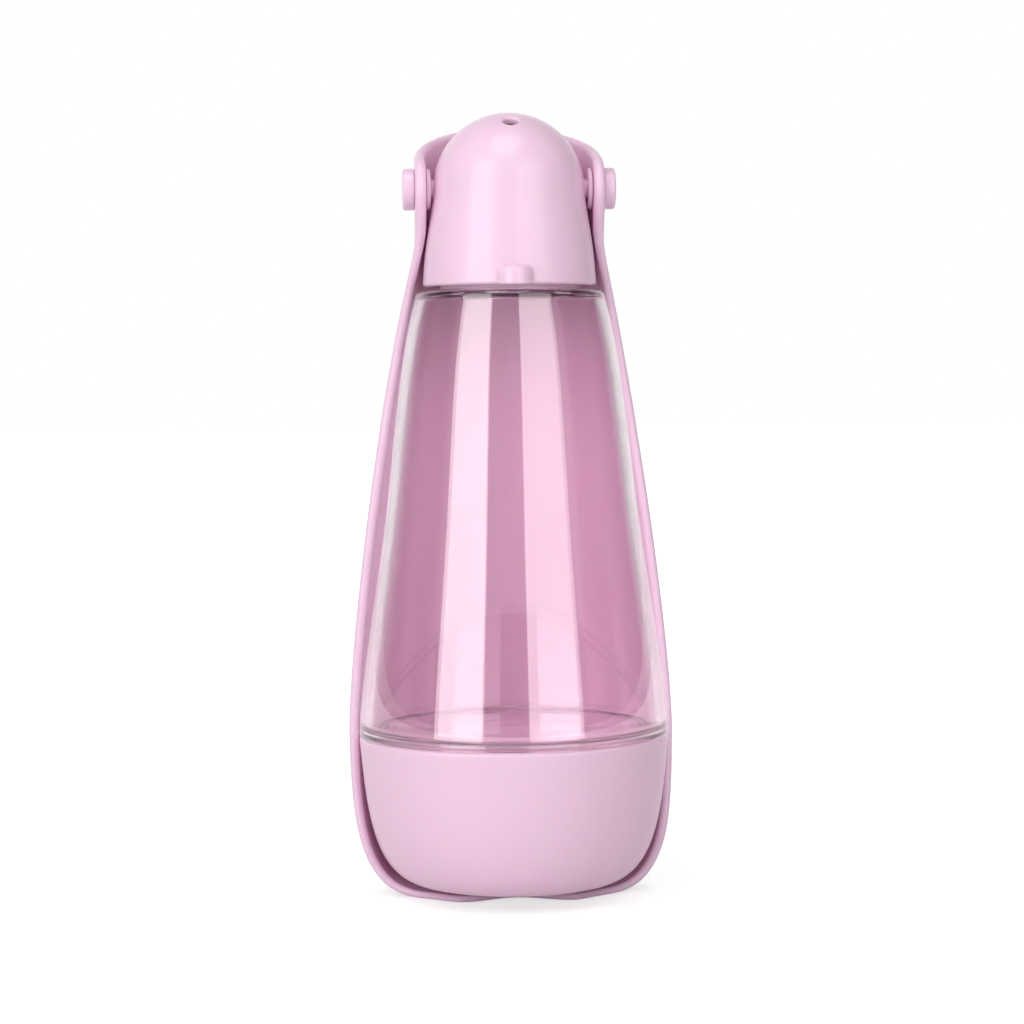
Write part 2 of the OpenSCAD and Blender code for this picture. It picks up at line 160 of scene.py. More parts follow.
# Clear copolyester, blow-moulded and left as it is: glossy, nearly free of colour, with a faint unevenness of
# the wall that bends what is seen through it, in waves 17 mm across and 70 mm high. Lamps shine through it.
clear_copolyester, output = new_material("clear_copolyester")
place = add(clear_copolyester, "ShaderNodeTexCoord")
waves_across = 60
waves_up = 14
flow = add(clear_copolyester, "ShaderNodeMapping", {"Scale": (waves_across, waves_across, waves_up)},
           {"Vector": place.outputs["Object"]})
ripple = add(clear_copolyester, "ShaderNodeTexNoise", {"Scale": 1.0, "Detail": 1.0},
             {"Vector": flow.outputs["Vector"]})
uneven = add(clear_copolyester, "ShaderNodeBump", {"Strength": 0.25, "Distance": 0.3 * MM},
             {"Height": ripple.outputs["Fac"]})
wall = add(clear_copolyester, "ShaderNodeBsdfPrincipled",
           {"Base Color": linear("#FCF1F7"), "Roughness": 0.01, "IOR": 1.5, "Transmission Weight": 1.0,
            "Coat Weight": 1.0, "Coat Roughness": 0.01, "Coat IOR": 1.75},
           {"Normal": uneven.outputs["Normal"]})
lamps = add(clear_copolyester, "ShaderNodeBsdfTransparent", {"Color": linear("#FFFDFE")})
ray = add(clear_copolyester, "ShaderNodeLightPath")
let_through = add(clear_copolyester, "ShaderNodeMixShader", {},
                  {0: ray.outputs["Is Shadow Ray"], 1: wall.outputs[0], 2: lamps.outputs[0]})
clear_copolyester.node_tree.links.new(let_through.outputs[0], output.inputs["Surface"])

cup_low, cup_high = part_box("food_cup")
body_low, body_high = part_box("bottle_body")
run_gap = 0.3
joint = cup_high.z / MM + run_gap
base_r = 47.2
waist_r = 38.2
shoulder_r = 29.0
waist_h = 71.2
shoulder_h = 135.2
waist = joint + waist_h
shoulder = joint + shoulder_h
base_wall = 3.6
shoulder_wall = 2.6
foot_ledge = 1.9
shoulder_edge = 2.2
foot_edge = 0.6
side_lean = 0.115
shoulder_lean = 0.275
neck_bore_r = 15.1
neck_r = 17.9
neck_top = body_high.z / MM
spigot_r = 43.9
spigot_wall = 2.2
spigot_low = body_low.z / MM


def bottle_side(low_wall, high_wall, top):
    """Side of the clear body, from the joint up to the shoulder, moved in by a wall."""
    low = (base_r - low_wall, joint)
    middle = (waist_r - (low_wall + high_wall) / 2, waist)
    high = (shoulder_r - high_wall, top)
    below = 0.29 * waist_h
    above = 0.44 * (top - waist)
    under_top = 0.24 * (top - waist)
    return (curve(low, (low[0], low[1] + 0.21 * waist_h),
                  (middle[0] + side_lean * below, middle[1] - below), middle)
            + curve(middle, (middle[0] - side_lean * above, middle[1] + above),
                    (high[0] + shoulder_lean * under_top, high[1] - under_top), high)
            + [high])


throat = shoulder - shoulder_wall
rim_round = 0.8
broken_edge = 0.3
least_step = 0.3
outside = ([(spigot_r, spigot_low + broken_edge), (spigot_r, joint)]
           + corner((base_r - foot_edge, joint + foot_edge), foot_edge, -90)
           + [p for p in bottle_side(0, 0, shoulder - shoulder_edge) if p[1] > joint + foot_edge + least_step]
           + corner((shoulder_r - shoulder_edge, shoulder - shoulder_edge), shoulder_edge, 0, steps=8)
           + corner((neck_r + rim_round, shoulder + rim_round), rim_round, 270, -90, 4)
           + corner((neck_r - rim_round, neck_top - rim_round), rim_round, 0, steps=4))
inner_edge = 1.0
wall_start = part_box("bottle_floor")[1].z / MM + foot_ledge
inside = ([(spigot_r - spigot_wall, spigot_low), (spigot_r - broken_edge, spigot_low)],
          corner((spigot_r - spigot_wall, wall_start), foot_ledge, -90)
          + [p for p in bottle_side(base_wall, shoulder_wall, throat - inner_edge)
             if p[1] > wall_start + least_step]
          + corner((shoulder_r - shoulder_wall - inner_edge, throat - inner_edge), inner_edge, 0)
          + corner((neck_bore_r + rim_round, throat + rim_round), rim_round, 270, -90, 4)
          + [(neck_bore_r, neck_top)])
lug_count = 3
lug_angle = 14
lug_reach = 1
lug_tall = 2
lug_low = spigot_low + 1.2
lug_high = lug_low + lug_tall
bottle_body = new_piece("clear_bottle", turned(inside[0] + outside + inside[1][::-1], closed=True), "bottle")
for i in range(lug_count):
    lug = turned([(spigot_r - lug_reach, lug_low), (spigot_r + lug_reach, lug_low),
                  (spigot_r + lug_reach, lug_high), (spigot_r - lug_reach, lug_high)],
                 closed=True, steps=8, longest=5, start=i * 360 / lug_count - lug_angle / 2, angle=lug_angle)
    combine(bottle_body, new_piece("lug", lug, None), "UNION")
bottle_body.data.materials.append(clear_copolyester)
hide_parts("bottle_body")


# Bottle floor.
# The clear disc that is welded into the bottle's lower end and closes it. Its edge shows through the wall as a
# thin dark ellipse.
floor_low, floor_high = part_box("bottle_floor")
disc_r = floor_high.x / MM
disc_edge = 0.25
disc = turned([(0, floor_low.z / MM)]
              + corner((disc_r - disc_edge, floor_low.z / MM + disc_edge), disc_edge, -90, steps=3)
              + corner((disc_r - disc_edge, floor_high.z / MM - disc_edge), disc_edge, 0, steps=3)
              + [(0, floor_high.z / MM)])
bottle_floor = new_piece("clear_floor_disc", disc, "bottle")
bottle_floor.data.materials.append(clear_copolyester)
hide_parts("bottle_floor")


# Food cup.
# A moulded cup of pink ABS with a satin face, thin at the lip, with a round bottom. Inside its lip are the
# seat of the seal and a groove with three entries that take the bottle's bayonet lugs.
# Satin ABS, moulded in a finely blasted mould: a soft sheen with a very fine grain of 0.4 mm and a faint
# cloudiness of the colour, as pale pigmented plastic has.
satin_abs, output = new_material("satin_abs_pink")
place = add(satin_abs, "ShaderNodeTexCoord")
cloud = add(satin_abs, "ShaderNodeTexNoise", {"Scale": 30.0, "Detail": 2.0},
            {"Vector": place.outputs["Object"]})
pigment = add(satin_abs, "ShaderNodeMix", {"data_type": "RGBA", 6: linear("#F0CDE4"), 7: linear("#F1D0E6")},
              {0: cloud.outputs["Fac"]})
sheen = add(satin_abs, "ShaderNodeMapRange", {"To Min": 0.21, "To Max": 0.26},
            {"Value": cloud.outputs["Fac"]})
grain = add(satin_abs, "ShaderNodeTexNoise", {"Scale": 2500.0, "Detail": 1.0},
            {"Vector": place.outputs["Object"]})
blasted = add(satin_abs, "ShaderNodeBump", {"Strength": 0.06, "Distance": 0.05 * MM},
              {"Height": grain.outputs["Fac"]})
face = add(satin_abs, "ShaderNodeBsdfPrincipled",
           {"IOR": 1.54, "Subsurface Weight": 0.2, "Subsurface Scale": 3 * MM,
            "Subsurface Radius": (1.0, 0.3, 0.5)},
           {"Base Color": pigment.outputs["Result"], "Roughness": sheen.outputs["Result"],
            "Normal": blasted.outputs["Normal"]})
satin_abs.node_tree.links.new(face.outputs[0], output.inputs["Surface"])

cup_wall = 2.3
cup_foot_r = 26
cup_bottom = cup_low.z / MM
cup_lip = cup_high.z / MM
cup_h = cup_lip - cup_bottom
lip_edge = 0.8
cup_tuck = 1.9
cup_turn = 60
cup_bore_r = spigot_r + run_gap
seal_w = 1.1
seal_h = 1
groove_r = spigot_r + lug_reach + run_gap
groove_low = lug_low - run_gap
groove_high = lug_high + run_gap
seal_seat_r = spigot_r + seal_w + run_gap
seal_seat_low = joint - seal_h - run_gap


def cup_side(wall):
    """Rounded side of the cup, from its lip down to the flat bottom, moved in by a wall."""
    lip = (base_r - wall, cup_lip - lip_edge)
    foot = (cup_foot_r - wall / 2, cup_bottom + wall)
    return curve(lip, (lip[0] - cup_tuck, lip[1] - 0.44 * cup_h),
                 (0.937 * base_r - wall, foot[1]), foot) + [foot]


cup_outline = ([(0, cup_bottom)] + cup_side(0)[::-1]
               + corner((base_r - lip_edge, cup_lip - lip_edge), lip_edge, 0)
               + corner((seal_seat_r + broken_edge, cup_lip - broken_edge), broken_edge, 90, steps=3)
               + [(seal_seat_r, seal_seat_low), (cup_bore_r, seal_seat_low), (cup_bore_r, groove_high),
                  (groove_r, groove_high), (groove_r, groove_low), (cup_bore_r, groove_low),
                  (cup_bore_r, groove_low - 1)]
               + [p for p in cup_side(cup_wall) if p[1] < groove_low - 2]
               + [(0, cup_bottom + cup_wall)])
food_cup = new_piece("food_cup_shell", turned(cup_outline), "cup")
entry_angle = lug_angle + 4
entry_in_r = cup_bore_r - 1
entry_out_r = groove_r - 0.05
for i in range(lug_count):
    entry = turned([(entry_in_r, lug_low + 1), (entry_out_r, lug_low + 1), (entry_out_r, cup_lip + 1),
                    (entry_in_r, cup_lip + 1)],
                   closed=True, steps=10, longest=5,
                   start=i * 360 / lug_count - cup_turn - entry_angle / 2, angle=entry_angle)
    combine(food_cup, new_piece("entry", entry, None), "DIFFERENCE")
food_cup.data.materials.append(satin_abs)
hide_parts("food_cup")


# Closure, seals and valve.
# Inside the head and never seen from outside: the collar that screws on the neck, its seals, and the ported
# disc that opens the water's way as the head turns. Their solids are shown as they are, each in its plastic.
# Pale pink silicone rubber, moulded and left matt: it takes light softly and shows a faint dusty grain.
silicone, output = new_material("silicone_seal")
place = add(silicone, "ShaderNodeTexCoord")
dust = add(silicone, "ShaderNodeTexNoise", {"Scale": 900.0, "Detail": 2.0},
           {"Vector": place.outputs["Object"]})
rough = add(silicone, "ShaderNodeMapRange", {"To Min": 0.55, "To Max": 0.7}, {"Value": dust.outputs["Fac"]})
skin = add(silicone, "ShaderNodeBsdfPrincipled", {"Base Color": linear("#EFD3E2"), "IOR": 1.41},
           {"Roughness": rough.outputs["Result"]})
silicone.node_tree.links.new(skin.outputs[0], output.inputs["Surface"])

# Acetal, turned and left white: slightly waxy, with fine rings about the bottle's axis 1 mm apart.
acetal, output = new_material("white_acetal")
place = add(acetal, "ShaderNodeTexCoord")
rings = add(acetal, "ShaderNodeTexWave",
            {"wave_type": "RINGS", "rings_direction": "Z", "Scale": 330.0, "Distortion": 0.3},
            {"Vector": place.outputs["Object"]})
turned_face = add(acetal, "ShaderNodeBump", {"Strength": 0.1, "Distance": 0.02 * MM},
                  {"Height": rings.outputs["Fac"]})
waxy = add(acetal, "ShaderNodeBsdfPrincipled",
           {"Base Color": linear("#ECEAEA"), "Roughness": 0.35, "IOR": 1.48},
           {"Normal": turned_face.outputs["Normal"]})
acetal.node_tree.links.new(waxy.outputs[0], output.inputs["Surface"])

for node, material in (("neck_seal", silicone), ("collar_o_ring", silicone), ("cup_seal", silicone),
                       ("screw_collar", satin_abs), ("valve_disc", acetal)):
    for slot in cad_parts[node].material_slots:
        slot.material = material


# Head.
# The domed head of the same satin ABS. It turns on the collar to open the valve, and its front carries a small
# half-round lug over the lower edge. Water leaves by the round hole in front of the dome's pole.
head_low, head_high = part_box("head_shell")
dome_r = 23.0
dome_wall = 2.2
pivot = head_high.z / MM - dome_r
skirt_low = head_low.z / MM
skirt_h = pivot - skirt_low
skirt_r = 26.4
skirt_edge = 1.0
skirt_swell = 0.2
skirt_tuck = 0.8
head_bore_r = 21.4
inner_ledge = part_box("valve_disc")[1].z / MM + run_gap
skirt_top = (dome_r, pivot)
skirt_foot = (skirt_r, skirt_low)
skirt = curve(skirt_top, (dome_r + skirt_swell, pivot - 0.2 * skirt_h),
              (skirt_r - skirt_tuck, skirt_low + 0.54 * skirt_h), skirt_foot, 36)
dome = corner((0, pivot), dome_r, 90, -90, 36)
ceiling = corner((0, pivot), dome_r - dome_wall, 90, -112, 30)
mouth_r = 23.7
groove_in_head_r = 23.0
snap_r = 22.0
snap_t = 1.5
rib_t = 2.3
rib_low = skirt_low + 5.7
head_outline = (dome[:-1] + [p for p in skirt if p[1] > skirt_low + skirt_edge + least_step]
                + corner((skirt_r - skirt_edge, skirt_low + skirt_edge), skirt_edge, 0, -90)
                + [(mouth_r, skirt_low), (mouth_r, rib_low - snap_t), (snap_r, rib_low - snap_t),
                   (snap_r, rib_low - run_gap), (groove_in_head_r, rib_low - run_gap),
                   (groove_in_head_r, rib_low + rib_t + run_gap), (head_bore_r, rib_low + rib_t + run_gap),
                   (head_bore_r, inner_ledge)]
                + [p for p in ceiling[::-1] if p[1] > inner_ledge])
head = new_piece("head_shell_smooth", turned(head_outline, longest=1.2), "head")

lug_r = 5.5
lug_h = 5.8
lug_edge = 2.2
lug_chamfer = 0.4
lug_proud = 3.5
stop_lug = turned([(0, skirt_low), (lug_r - lug_chamfer, skirt_low), (lug_r, skirt_low + lug_chamfer)]
                  + corner((lug_r - lug_edge, skirt_low + lug_h - lug_edge), lug_edge, 0)
                  + [(0, skirt_low + lug_h)], steps=48, longest=0.8)
bmesh.ops.translate(stop_lug, vec=(0, lug_r - skirt_r - lug_proud, 0), verts=stop_lug.verts)
combine(head, new_piece("stop_lug", stop_lug, None), "UNION")


def tipped(bm, angle, axis="Y"):
    """Tips a bmesh about the origin by an angle in degrees, and lifts it to the height of the pins."""
    bmesh.ops.rotate(bm, cent=(0, 0, 0), matrix=Matrix.Rotation(math.radians(angle), 3, axis), verts=bm.verts)
    bmesh.ops.translate(bm, vec=(0, 0, pivot), verts=bm.verts)
    return bm


# The outlet: a round hole that leans to the front, with a rounded mouth.
outlet_r = 2.3
outlet_tilt = 30
outlet_from = 15
outlet_to = dome_r + 2
mouth_round = 0.8
mouth_at = math.sqrt(dome_r**2 - (outlet_r + mouth_round)**2) - mouth_round
outlet = turned([(0, outlet_from), (outlet_r, outlet_from)]
                + corner((outlet_r + mouth_round, mouth_at), mouth_round, 180, -84, 8)
                + [(outlet_r + 3 * mouth_round, outlet_to), (0, outlet_to)], steps=48, longest=1.0)
combine(head, new_piece("outlet", tipped(outlet, outlet_tilt, "X"), None), "DIFFERENCE")

# Inside, a boss on each side holds a pivot pin.
pin_r = 3.0
pin_clearance = 0.05
bore_r = pin_r + pin_clearance
grip_end = 16.5
boss_r = 5.5
boss_from = grip_end - 1.8
boss_to = dome_r - dome_wall / 2
for side in (-1, 1):
    boss = turned([(0, boss_from), (boss_r - broken_edge, boss_from), (boss_r, boss_from + broken_edge),
                   (boss_r, boss_to), (0, boss_to)], steps=48)
    combine(head, new_piece("boss", tipped(boss, side * 90), None), "UNION")
    hole = turned([(0, grip_end), (bore_r, grip_end), (bore_r, dome_r + 1), (0, dome_r + 1)], steps=48)
    combine(head, new_piece("pin_hole", tipped(hole, side * 90), None), "DIFFERENCE")
head.data.materials.append(satin_abs)
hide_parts("head_shell")


# Drinking trough.
# The long scoop that folds behind the bottle: one moulding of the same satin ABS, with rounded rims all round,
# two ears that turn on the pins, a hood behind the dome, and a toe with two round lobes that goes under the
# food cup and carries the whole bottle.
trough_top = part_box("drinking_trough")[1].z / MM
trough_wall = 2.9
ear_wall = 3.4
toe_t = 2.0
foot_r = 28.5
rim_y = 9.5
toe_reach = 13.0
toe_fall = 4.0
notch_depth = 6.0
notch_half = 17.0
ear_r = 9.6
ear_in_r = 25.3
ear_out_r = ear_in_r + ear_wall
hood_top = (ear_out_r, trough_top)
trough_gap = 1.2
waist_gap = 3.3
base_out_r = base_r + trough_gap + trough_wall
waist_out_r = waist_r + waist_gap + trough_wall
trough_lean = 0.137


def trough_side(low_r, middle_r, high_r, upright):
    """Side of the trough, from the joint up past the height where its ears stand upright."""
    past = 60
    rise = upright - waist
    low, middle, high = (low_r, joint), (middle_r, waist), (high_r, upright)
    below = 0.33 * waist_h
    above = 0.65 * rise
    return (curve(low, (low_r, joint + 0.22 * waist_h),
                  (middle_r + trough_lean * below, waist - below), middle)
            + curve(middle, (middle_r - trough_lean * above, waist + above), (high_r, upright - 0.105 * rise),
                    high)
            + [high, (high_r, upright + past)])


def along(points, at, key=1):
    """The point of an outline at a height, or at another of its coordinates."""
    for start, end in zip(points, points[1:]):
        if start[key] <= at <= end[key]:
            share = (at - start[key]) / (end[key] - start[key])
            return tuple(p + (q - p) * share for p, q in zip(start, end))
    return points[0] if at < points[0][key] else points[-1]


def spread(points, count):
    """Points at equal distances along an outline, with the turned-left direction of the outline at each."""
    steps = [math.dist(p, q) for p, q in zip(points, points[1:])]
    placed = []
    for i in range(count + 1):
        left = sum(steps) * i / count
        j = 0
        while j < len(steps) - 1 and left > steps[j]:
            left -= steps[j]
            j += 1
        p, q = points[j], points[j + 1]
        run = ((q[0] - p[0]) / steps[j], (q[1] - p[1]) / steps[j])
        placed.append(((p[0] + run[0] * left, p[1] + run[1] * left), (-run[1], run[0])))
    return placed


# Side view of the rim, from the toe up to the ear's round and on to the straight top edge of the hood.
from_pin = (hood_top[0], hood_top[1] - pivot)
hood_angle = math.degrees(math.atan2(from_pin[1], from_pin[0]) + math.acos(ear_r / math.hypot(*from_pin)))
neck_point = (0.25 * rim_y, pivot - 2.8 * ear_r)
under_ear = (neck_point[0], neck_point[1] - pivot)
rim_angle = 360 + math.degrees(math.atan2(under_ear[1], under_ear[0])
                               - math.acos(ear_r / math.hypot(*under_ear)))
ear_round = corner((0, pivot), ear_r, rim_angle, hood_angle - rim_angle, 40)
rim_turn = joint + 12
side_rim = (curve((-toe_reach, toe_t), (0.2 * rim_y, 0.12 * joint), (rim_y, 0.5 * joint),
                  (rim_y, rim_turn), 40)
            + [(rim_y, rim_turn)]
            + curve((rim_y, waist), (rim_y, pivot - 4.9 * ear_r), neck_point, ear_round[0], 60))
hood_slope = (hood_top[1] - ear_round[-1][1]) / (hood_top[0] - ear_round[-1][0])

# Half of the toe's front edge in plan: the notch in the middle, a lobe, and the way back to the side.
notch_steps = 30
lobe_end = (base_out_r + 1, toe_fall)
lobe_edge = ([(notch_half * i / notch_steps,
               notch_depth * (1 + math.cos(math.pi * i / notch_steps)) / 2 - toe_reach)
              for i in range(notch_steps)]
             + curve((notch_half, -toe_reach), (1.35 * notch_half, -toe_reach), (1.6 * notch_half, 0),
                     lobe_end, 40)
             + [lobe_end])

# Rows of the outer and of the inner sheet, from the middle of the foot up to the top of the hood. Each row has
# a front point at the rim, set back by half the wall, and a height at the back.
base_in_r = base_out_r - trough_wall
foot_in_r = foot_r - 1
outer_side = trough_side(base_out_r, waist_out_r, ear_out_r, pivot - 1.55 * ear_r)
inner_side = trough_side(base_in_r, waist_out_r - trough_wall, ear_in_r, pivot - 1.2 * ear_r)
toe_tuck_out = 0.6
toe_tuck_in = 0.5
outer_toe = curve((foot_r, 0), (0.8 * base_out_r, 0), (base_out_r - toe_tuck_out, 0.16 * joint),
                  (base_out_r, joint), 30)
inner_toe = curve((foot_in_r, toe_t), (0.78 * base_out_r, toe_t), (base_in_r - toe_tuck_in, 0.22 * joint),
                  (base_in_r, joint), 30)
foot_steps = 20
outer_rows = [(foot_r * i / foot_steps, 0.0) for i in range(foot_steps)] + outer_toe
inner_rows = [(foot_in_r * i / foot_steps, toe_t) for i in range(foot_steps)] + inner_toe
tilt_from = pivot - 33
level_steps = 46
for i in range(level_steps):
    height = joint + (tilt_from - joint) * i / level_steps
    outer_rows.append(along(outer_side, height))
    inner_rows.append(along(inner_side, height))
softer = 2.0
under_table = (-toe_reach - 14, -0.5)
fronts = []
for r, z in outer_rows:
    lobe = along(lobe_edge, r, 0)[1]
    side = along([under_table] + side_rim, z)[0]
    fronts.append(side if z > joint else (lobe + side + math.hypot(lobe - side, softer)) / 2)
level_rows = []
for i, (outer, inner, front) in enumerate(zip(outer_rows, inner_rows, fronts)):
    j, k = max(i - 1, 0), min(i + 1, len(fronts) - 1)
    slope = (fronts[k] - fronts[j]) / math.dist(outer_rows[j], outer_rows[k])
    half = math.dist(outer, inner) / 2 if outer[1] < joint else (outer[0] - inner[0]) / 2
    front += half * math.hypot(1, slope)
    level_rows.append((outer, inner, front))
upper_rim = [p for p in side_rim if p[1] > tilt_from] + ear_round
tilt_steps = 24
half_ear = ear_wall / 2
tilted = []
for i, (point, left) in enumerate(spread(upper_rim, tilt_steps)):
    share = i / tilt_steps
    half = (along(outer_side, point[1])[0] - along(inner_side, point[1])[0]) / 2
    front = (point[0] - left[0] * half, point[1] - left[1] * half)
    backs = []
    for r in (ear_out_r, ear_in_r):
        top = hood_top[1] - hood_slope * (ear_out_r - r) - half_ear * math.hypot(1, hood_slope)
        backs.append(tilt_from + (top - tilt_from) * share)
    tilted.append((front, backs))
columns = 96
rows = len(level_rows) + len(tilted) - 1


def sheet_point(side, number, row, column):
    """Where a vertex of one sheet lies: its row runs from rim to rim round the back of the bottle."""
    if row < len(level_rows):
        r, height = level_rows[row][number]
        front = (level_rows[row][2], height)
        back = height
    else:
        front, backs = tilted[row - len(level_rows)]
        back = backs[number]
        r = along(side, back)[0]
    hidden = math.asin(front[0] / r) if front[0] > 0 else 0
    straight = max(-front[0], 0)
    arc = r * (math.pi / 2 - hidden)
    run = (straight + arc) * abs(column / columns * 2 - 1)
    y = r * math.cos(run / r) if r > 0 and (run <= arc or straight == 0) else arc - run
    height = front[1] + (back - front[1]) * (y - front[0]) / max(r - front[0], 0.001)
    if row >= len(level_rows):
        r = along(side, height)[0]
    x = math.sqrt(max(r * r - y * y, 0)) if y > 0 else r
    return Vector((math.copysign(x, column / columns - 0.5), y, height))


def placed_grid(bm, across, up, where):
    """Adds a grid to a bmesh with each vertex where a function of its column and row puts it."""
    grid = bmesh.ops.create_grid(bm, x_segments=across, y_segments=up, size=1)
    for vert in grid["verts"]:
        vert.co = where(round((vert.co.x + 1) / 2 * across), round((vert.co.y + 1) / 2 * up))


# The outer and the inner sheet, and a half-round rim that joins them all the way round.
shell = bmesh.new()
placed_grid(shell, columns, rows, lambda column, row: sheet_point(outer_side, 0, row, column))
placed_grid(shell, columns, rows, lambda column, row: sheet_point(inner_side, 1, row, column))
way_round = ([(row, 0) for row in range(rows, 0, -1)] + [(row, columns) for row in range(rows + 1)]
             + [(rows, column) for column in range(columns - 1, 0, -1)])
outer_rim = [sheet_point(outer_side, 0, *at) for at in way_round]
inner_rim = [sheet_point(inner_side, 1, *at) for at in way_round]
middle = [(p + q) / 2 for p, q in zip(outer_rim, inner_rim)]
half_wall = [(p - q) / 2 for p, q in zip(outer_rim, inner_rim)]
bulge = []
for i, half in enumerate(half_wall):
    run = middle[(i + 1) % len(middle)] - middle[i - 1]
    bulge.append(half.cross(run).normalized() * half.length)
rim_steps = 10
placed_grid(shell, len(way_round), rim_steps, lambda i, step: (
    middle[i % len(middle)] + half_wall[i % len(middle)] * math.cos(math.pi * step / rim_steps)
    + bulge[i % len(middle)] * math.sin(math.pi * step / rim_steps)))
bmesh.ops.remove_doubles(shell, verts=shell.verts, dist=0.002)
bmesh.ops.recalc_face_normals(shell, faces=shell.faces)
trough = new_piece("drinking_trough_shell", shell, "trough")

# The pins' holes through the ears, and the flat seats of the washers inside them.
button_r = 6.3
seat_r = button_r + run_gap
seat_at = ear_in_r - 0.01
for name, radius, end, steps in (("pin_bore", bore_r, 40, 48), ("washer_seat", seat_r, seat_at, 64)):
    hole = turned([(0, -end), (radius, -end), (radius, end), (0, end)], steps=steps, longest=4)
    combine(trough, new_piece(name, tipped(hole, 90), None), "DIFFERENCE")
trough.data.materials.append(satin_abs)
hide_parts("drinking_trough")


# Pivot pins and washers.
# Each ear turns on a mushroom-headed pin of the same ABS, pressed into the head's boss; a round washer with a
# small chamfer keeps the ear off the head. The pin's button has a soft rounded edge.
button_t = 3.5
button_edge = 0.9
button_from = ear_out_r + pin_clearance
shank_from = grip_end + run_gap
washer_edge = 0.5
washer_clearance = 0.2
washer_t = 1.2
washer_out = ear_in_r - washer_clearance
washer_in = washer_out - washer_t
for side, hand in ((-1, "left"), (1, "right")):
    pin = turned([(0, shank_from), (pin_r - broken_edge, shank_from), (pin_r, shank_from + broken_edge),
                  (pin_r, button_from), (button_r - broken_edge, button_from),
                  (button_r, button_from + broken_edge)]
                 + corner((button_r - button_edge, button_from + button_t - button_edge), button_edge, 0)
                 + [(0, button_from + button_t)], steps=64, longest=0.8)
    washer = turned([(bore_r, washer_in), (button_r - washer_edge, washer_in),
                     (button_r, washer_in + washer_edge), (button_r, washer_out - broken_edge / 2),
                     (button_r - broken_edge / 2, washer_out), (bore_r, washer_out)],
                    closed=True, steps=64, longest=0.8)
    for bm, name, node in ((pin, "pin_button_" + hand, "pivot_pin_" + hand),
                           (washer, "washer_ring_" + hand, "pivot_washer_" + hand)):
        piece = new_piece(name, tipped(bm, side * 90), "head")
        piece.data.materials.append(satin_abs)
        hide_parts(node)


# Table top and backdrop.
# A plain white sheet that the bottle stands on. The camera sees it as white, and it keeps a soft shadow and a
# faint reflection of the bottle. Its darkest shade, where the foot touches it, is a painted contact shadow,
# and the sheet is painted pink in what gloss and the clear plastic show of it.
table_half = 6000
table = bmesh.new()
bmesh.ops.create_grid(table, x_segments=4, y_segments=4, size=table_half)
table_top = new_piece("table_top", table, None)
white_sheet, output = new_material("white_coated_sheet")
place_on_sheet = add(white_sheet, "ShaderNodeTexCoord")
distance = add(white_sheet, "ShaderNodeVectorMath", {"operation": "LENGTH"},
               {0: place_on_sheet.outputs["Object"]})
far = add(white_sheet, "ShaderNodeMapRange", {"From Min": 0.1, "From Max": 0.7, "To Min": 0.8, "To Max": 1.0},
          {"Value": distance.outputs["Value"]})
ray = add(white_sheet, "ShaderNodeLightPath")
unscattered = add(white_sheet, "ShaderNodeMath", {"operation": "LESS_THAN", 1: 0.5},
                  {0: ray.outputs["Diffuse Depth"]})
# Painted reflection: the glow is white to the camera, but pink in every reflection of the sheet and in what is
# seen of it through the clear plastic.
glow_tone_painted_pink_reflection = add(white_sheet, "ShaderNodeMix",
                {"data_type": "RGBA", 6: linear("#DCC6D2"), 7: linear("#FFFFFF")},
                {0: ray.outputs["Is Camera Ray"]})
# Painted shadow: the sheet's glow is dimmed where ambient occlusion finds the foot close above it, which
# paints a dark contact shadow round the foot.
openness = add(white_sheet, "ShaderNodeAmbientOcclusion", {"Distance": 6 * MM})
painted_contact_shadow = add(white_sheet, "ShaderNodeMapRange", {"To Min": 0.75, "To Max": 1.0},
              {"Value": openness.outputs["AO"]})
glow_strength = far.outputs["Result"]
for factor in (unscattered.outputs["Value"], painted_contact_shadow.outputs["Result"]):
    glow_strength = add(white_sheet, "ShaderNodeMath", {"operation": "MULTIPLY"},
                        {0: glow_strength, 1: factor}).outputs["Value"]
shade = add(white_sheet, "ShaderNodeMix", {"data_type": "RGBA", 6: linear("#D9D7D9"), 7: linear("#A09EA0")},
            {0: unscattered.outputs["Value"]})
paper = add(white_sheet, "ShaderNodeBsdfDiffuse", {}, {"Color": shade.outputs["Result"]})
gloss = add(white_sheet, "ShaderNodeBsdfGlossy", {"Color": linear("#FFFFFF"), "Roughness": 0.08})
coated = add(white_sheet, "ShaderNodeMixShader", {0: 0.04}, {1: paper.outputs[0], 2: gloss.outputs[0]})
glow = add(white_sheet, "ShaderNodeEmission", {},
           {"Color": glow_tone_painted_pink_reflection.outputs["Result"], "Strength": glow_strength})
seen = add(white_sheet, "ShaderNodeAddShader", {}, {0: coated.outputs[0], 1: glow.outputs[0]})
white_sheet.node_tree.links.new(seen.outputs[0], output.inputs["Surface"])
table_top.data.materials.append(white_sheet)

# Surroundings. The camera sees them white. What shows by gloss or through the clear plastic is white behind
# the bottle and a dim pink card to the sides and the front. All else is lit by a dim fill from the left, which
# is stronger for what stands inside or behind the clear plastic.
world = bpy.data.worlds.new("white_room")
bpy.context.scene.world = world
world.use_nodes = True
world.node_tree.nodes.clear()
output = add(world, "ShaderNodeOutputWorld")
ray = add(world, "ShaderNodeLightPath")
direction = add(world, "ShaderNodeTexCoord")
parts = add(world, "ShaderNodeSeparateXYZ", {}, {0: direction.outputs["Generated"]})
behind = add(world, "ShaderNodeMapRange", {"From Min": 0.5, "From Max": 0.95}, {"Value": parts.outputs["Y"]})
white = add(world, "ShaderNodeMath", {"operation": "MAXIMUM"},
            {0: behind.outputs["Result"], 1: ray.outputs["Is Camera Ray"]})
card = add(world, "ShaderNodeMix", {"data_type": "RGBA", 6: linear("#7A5A6C"), 7: linear("#FFFFFF")},
           {0: white.outputs[0]})
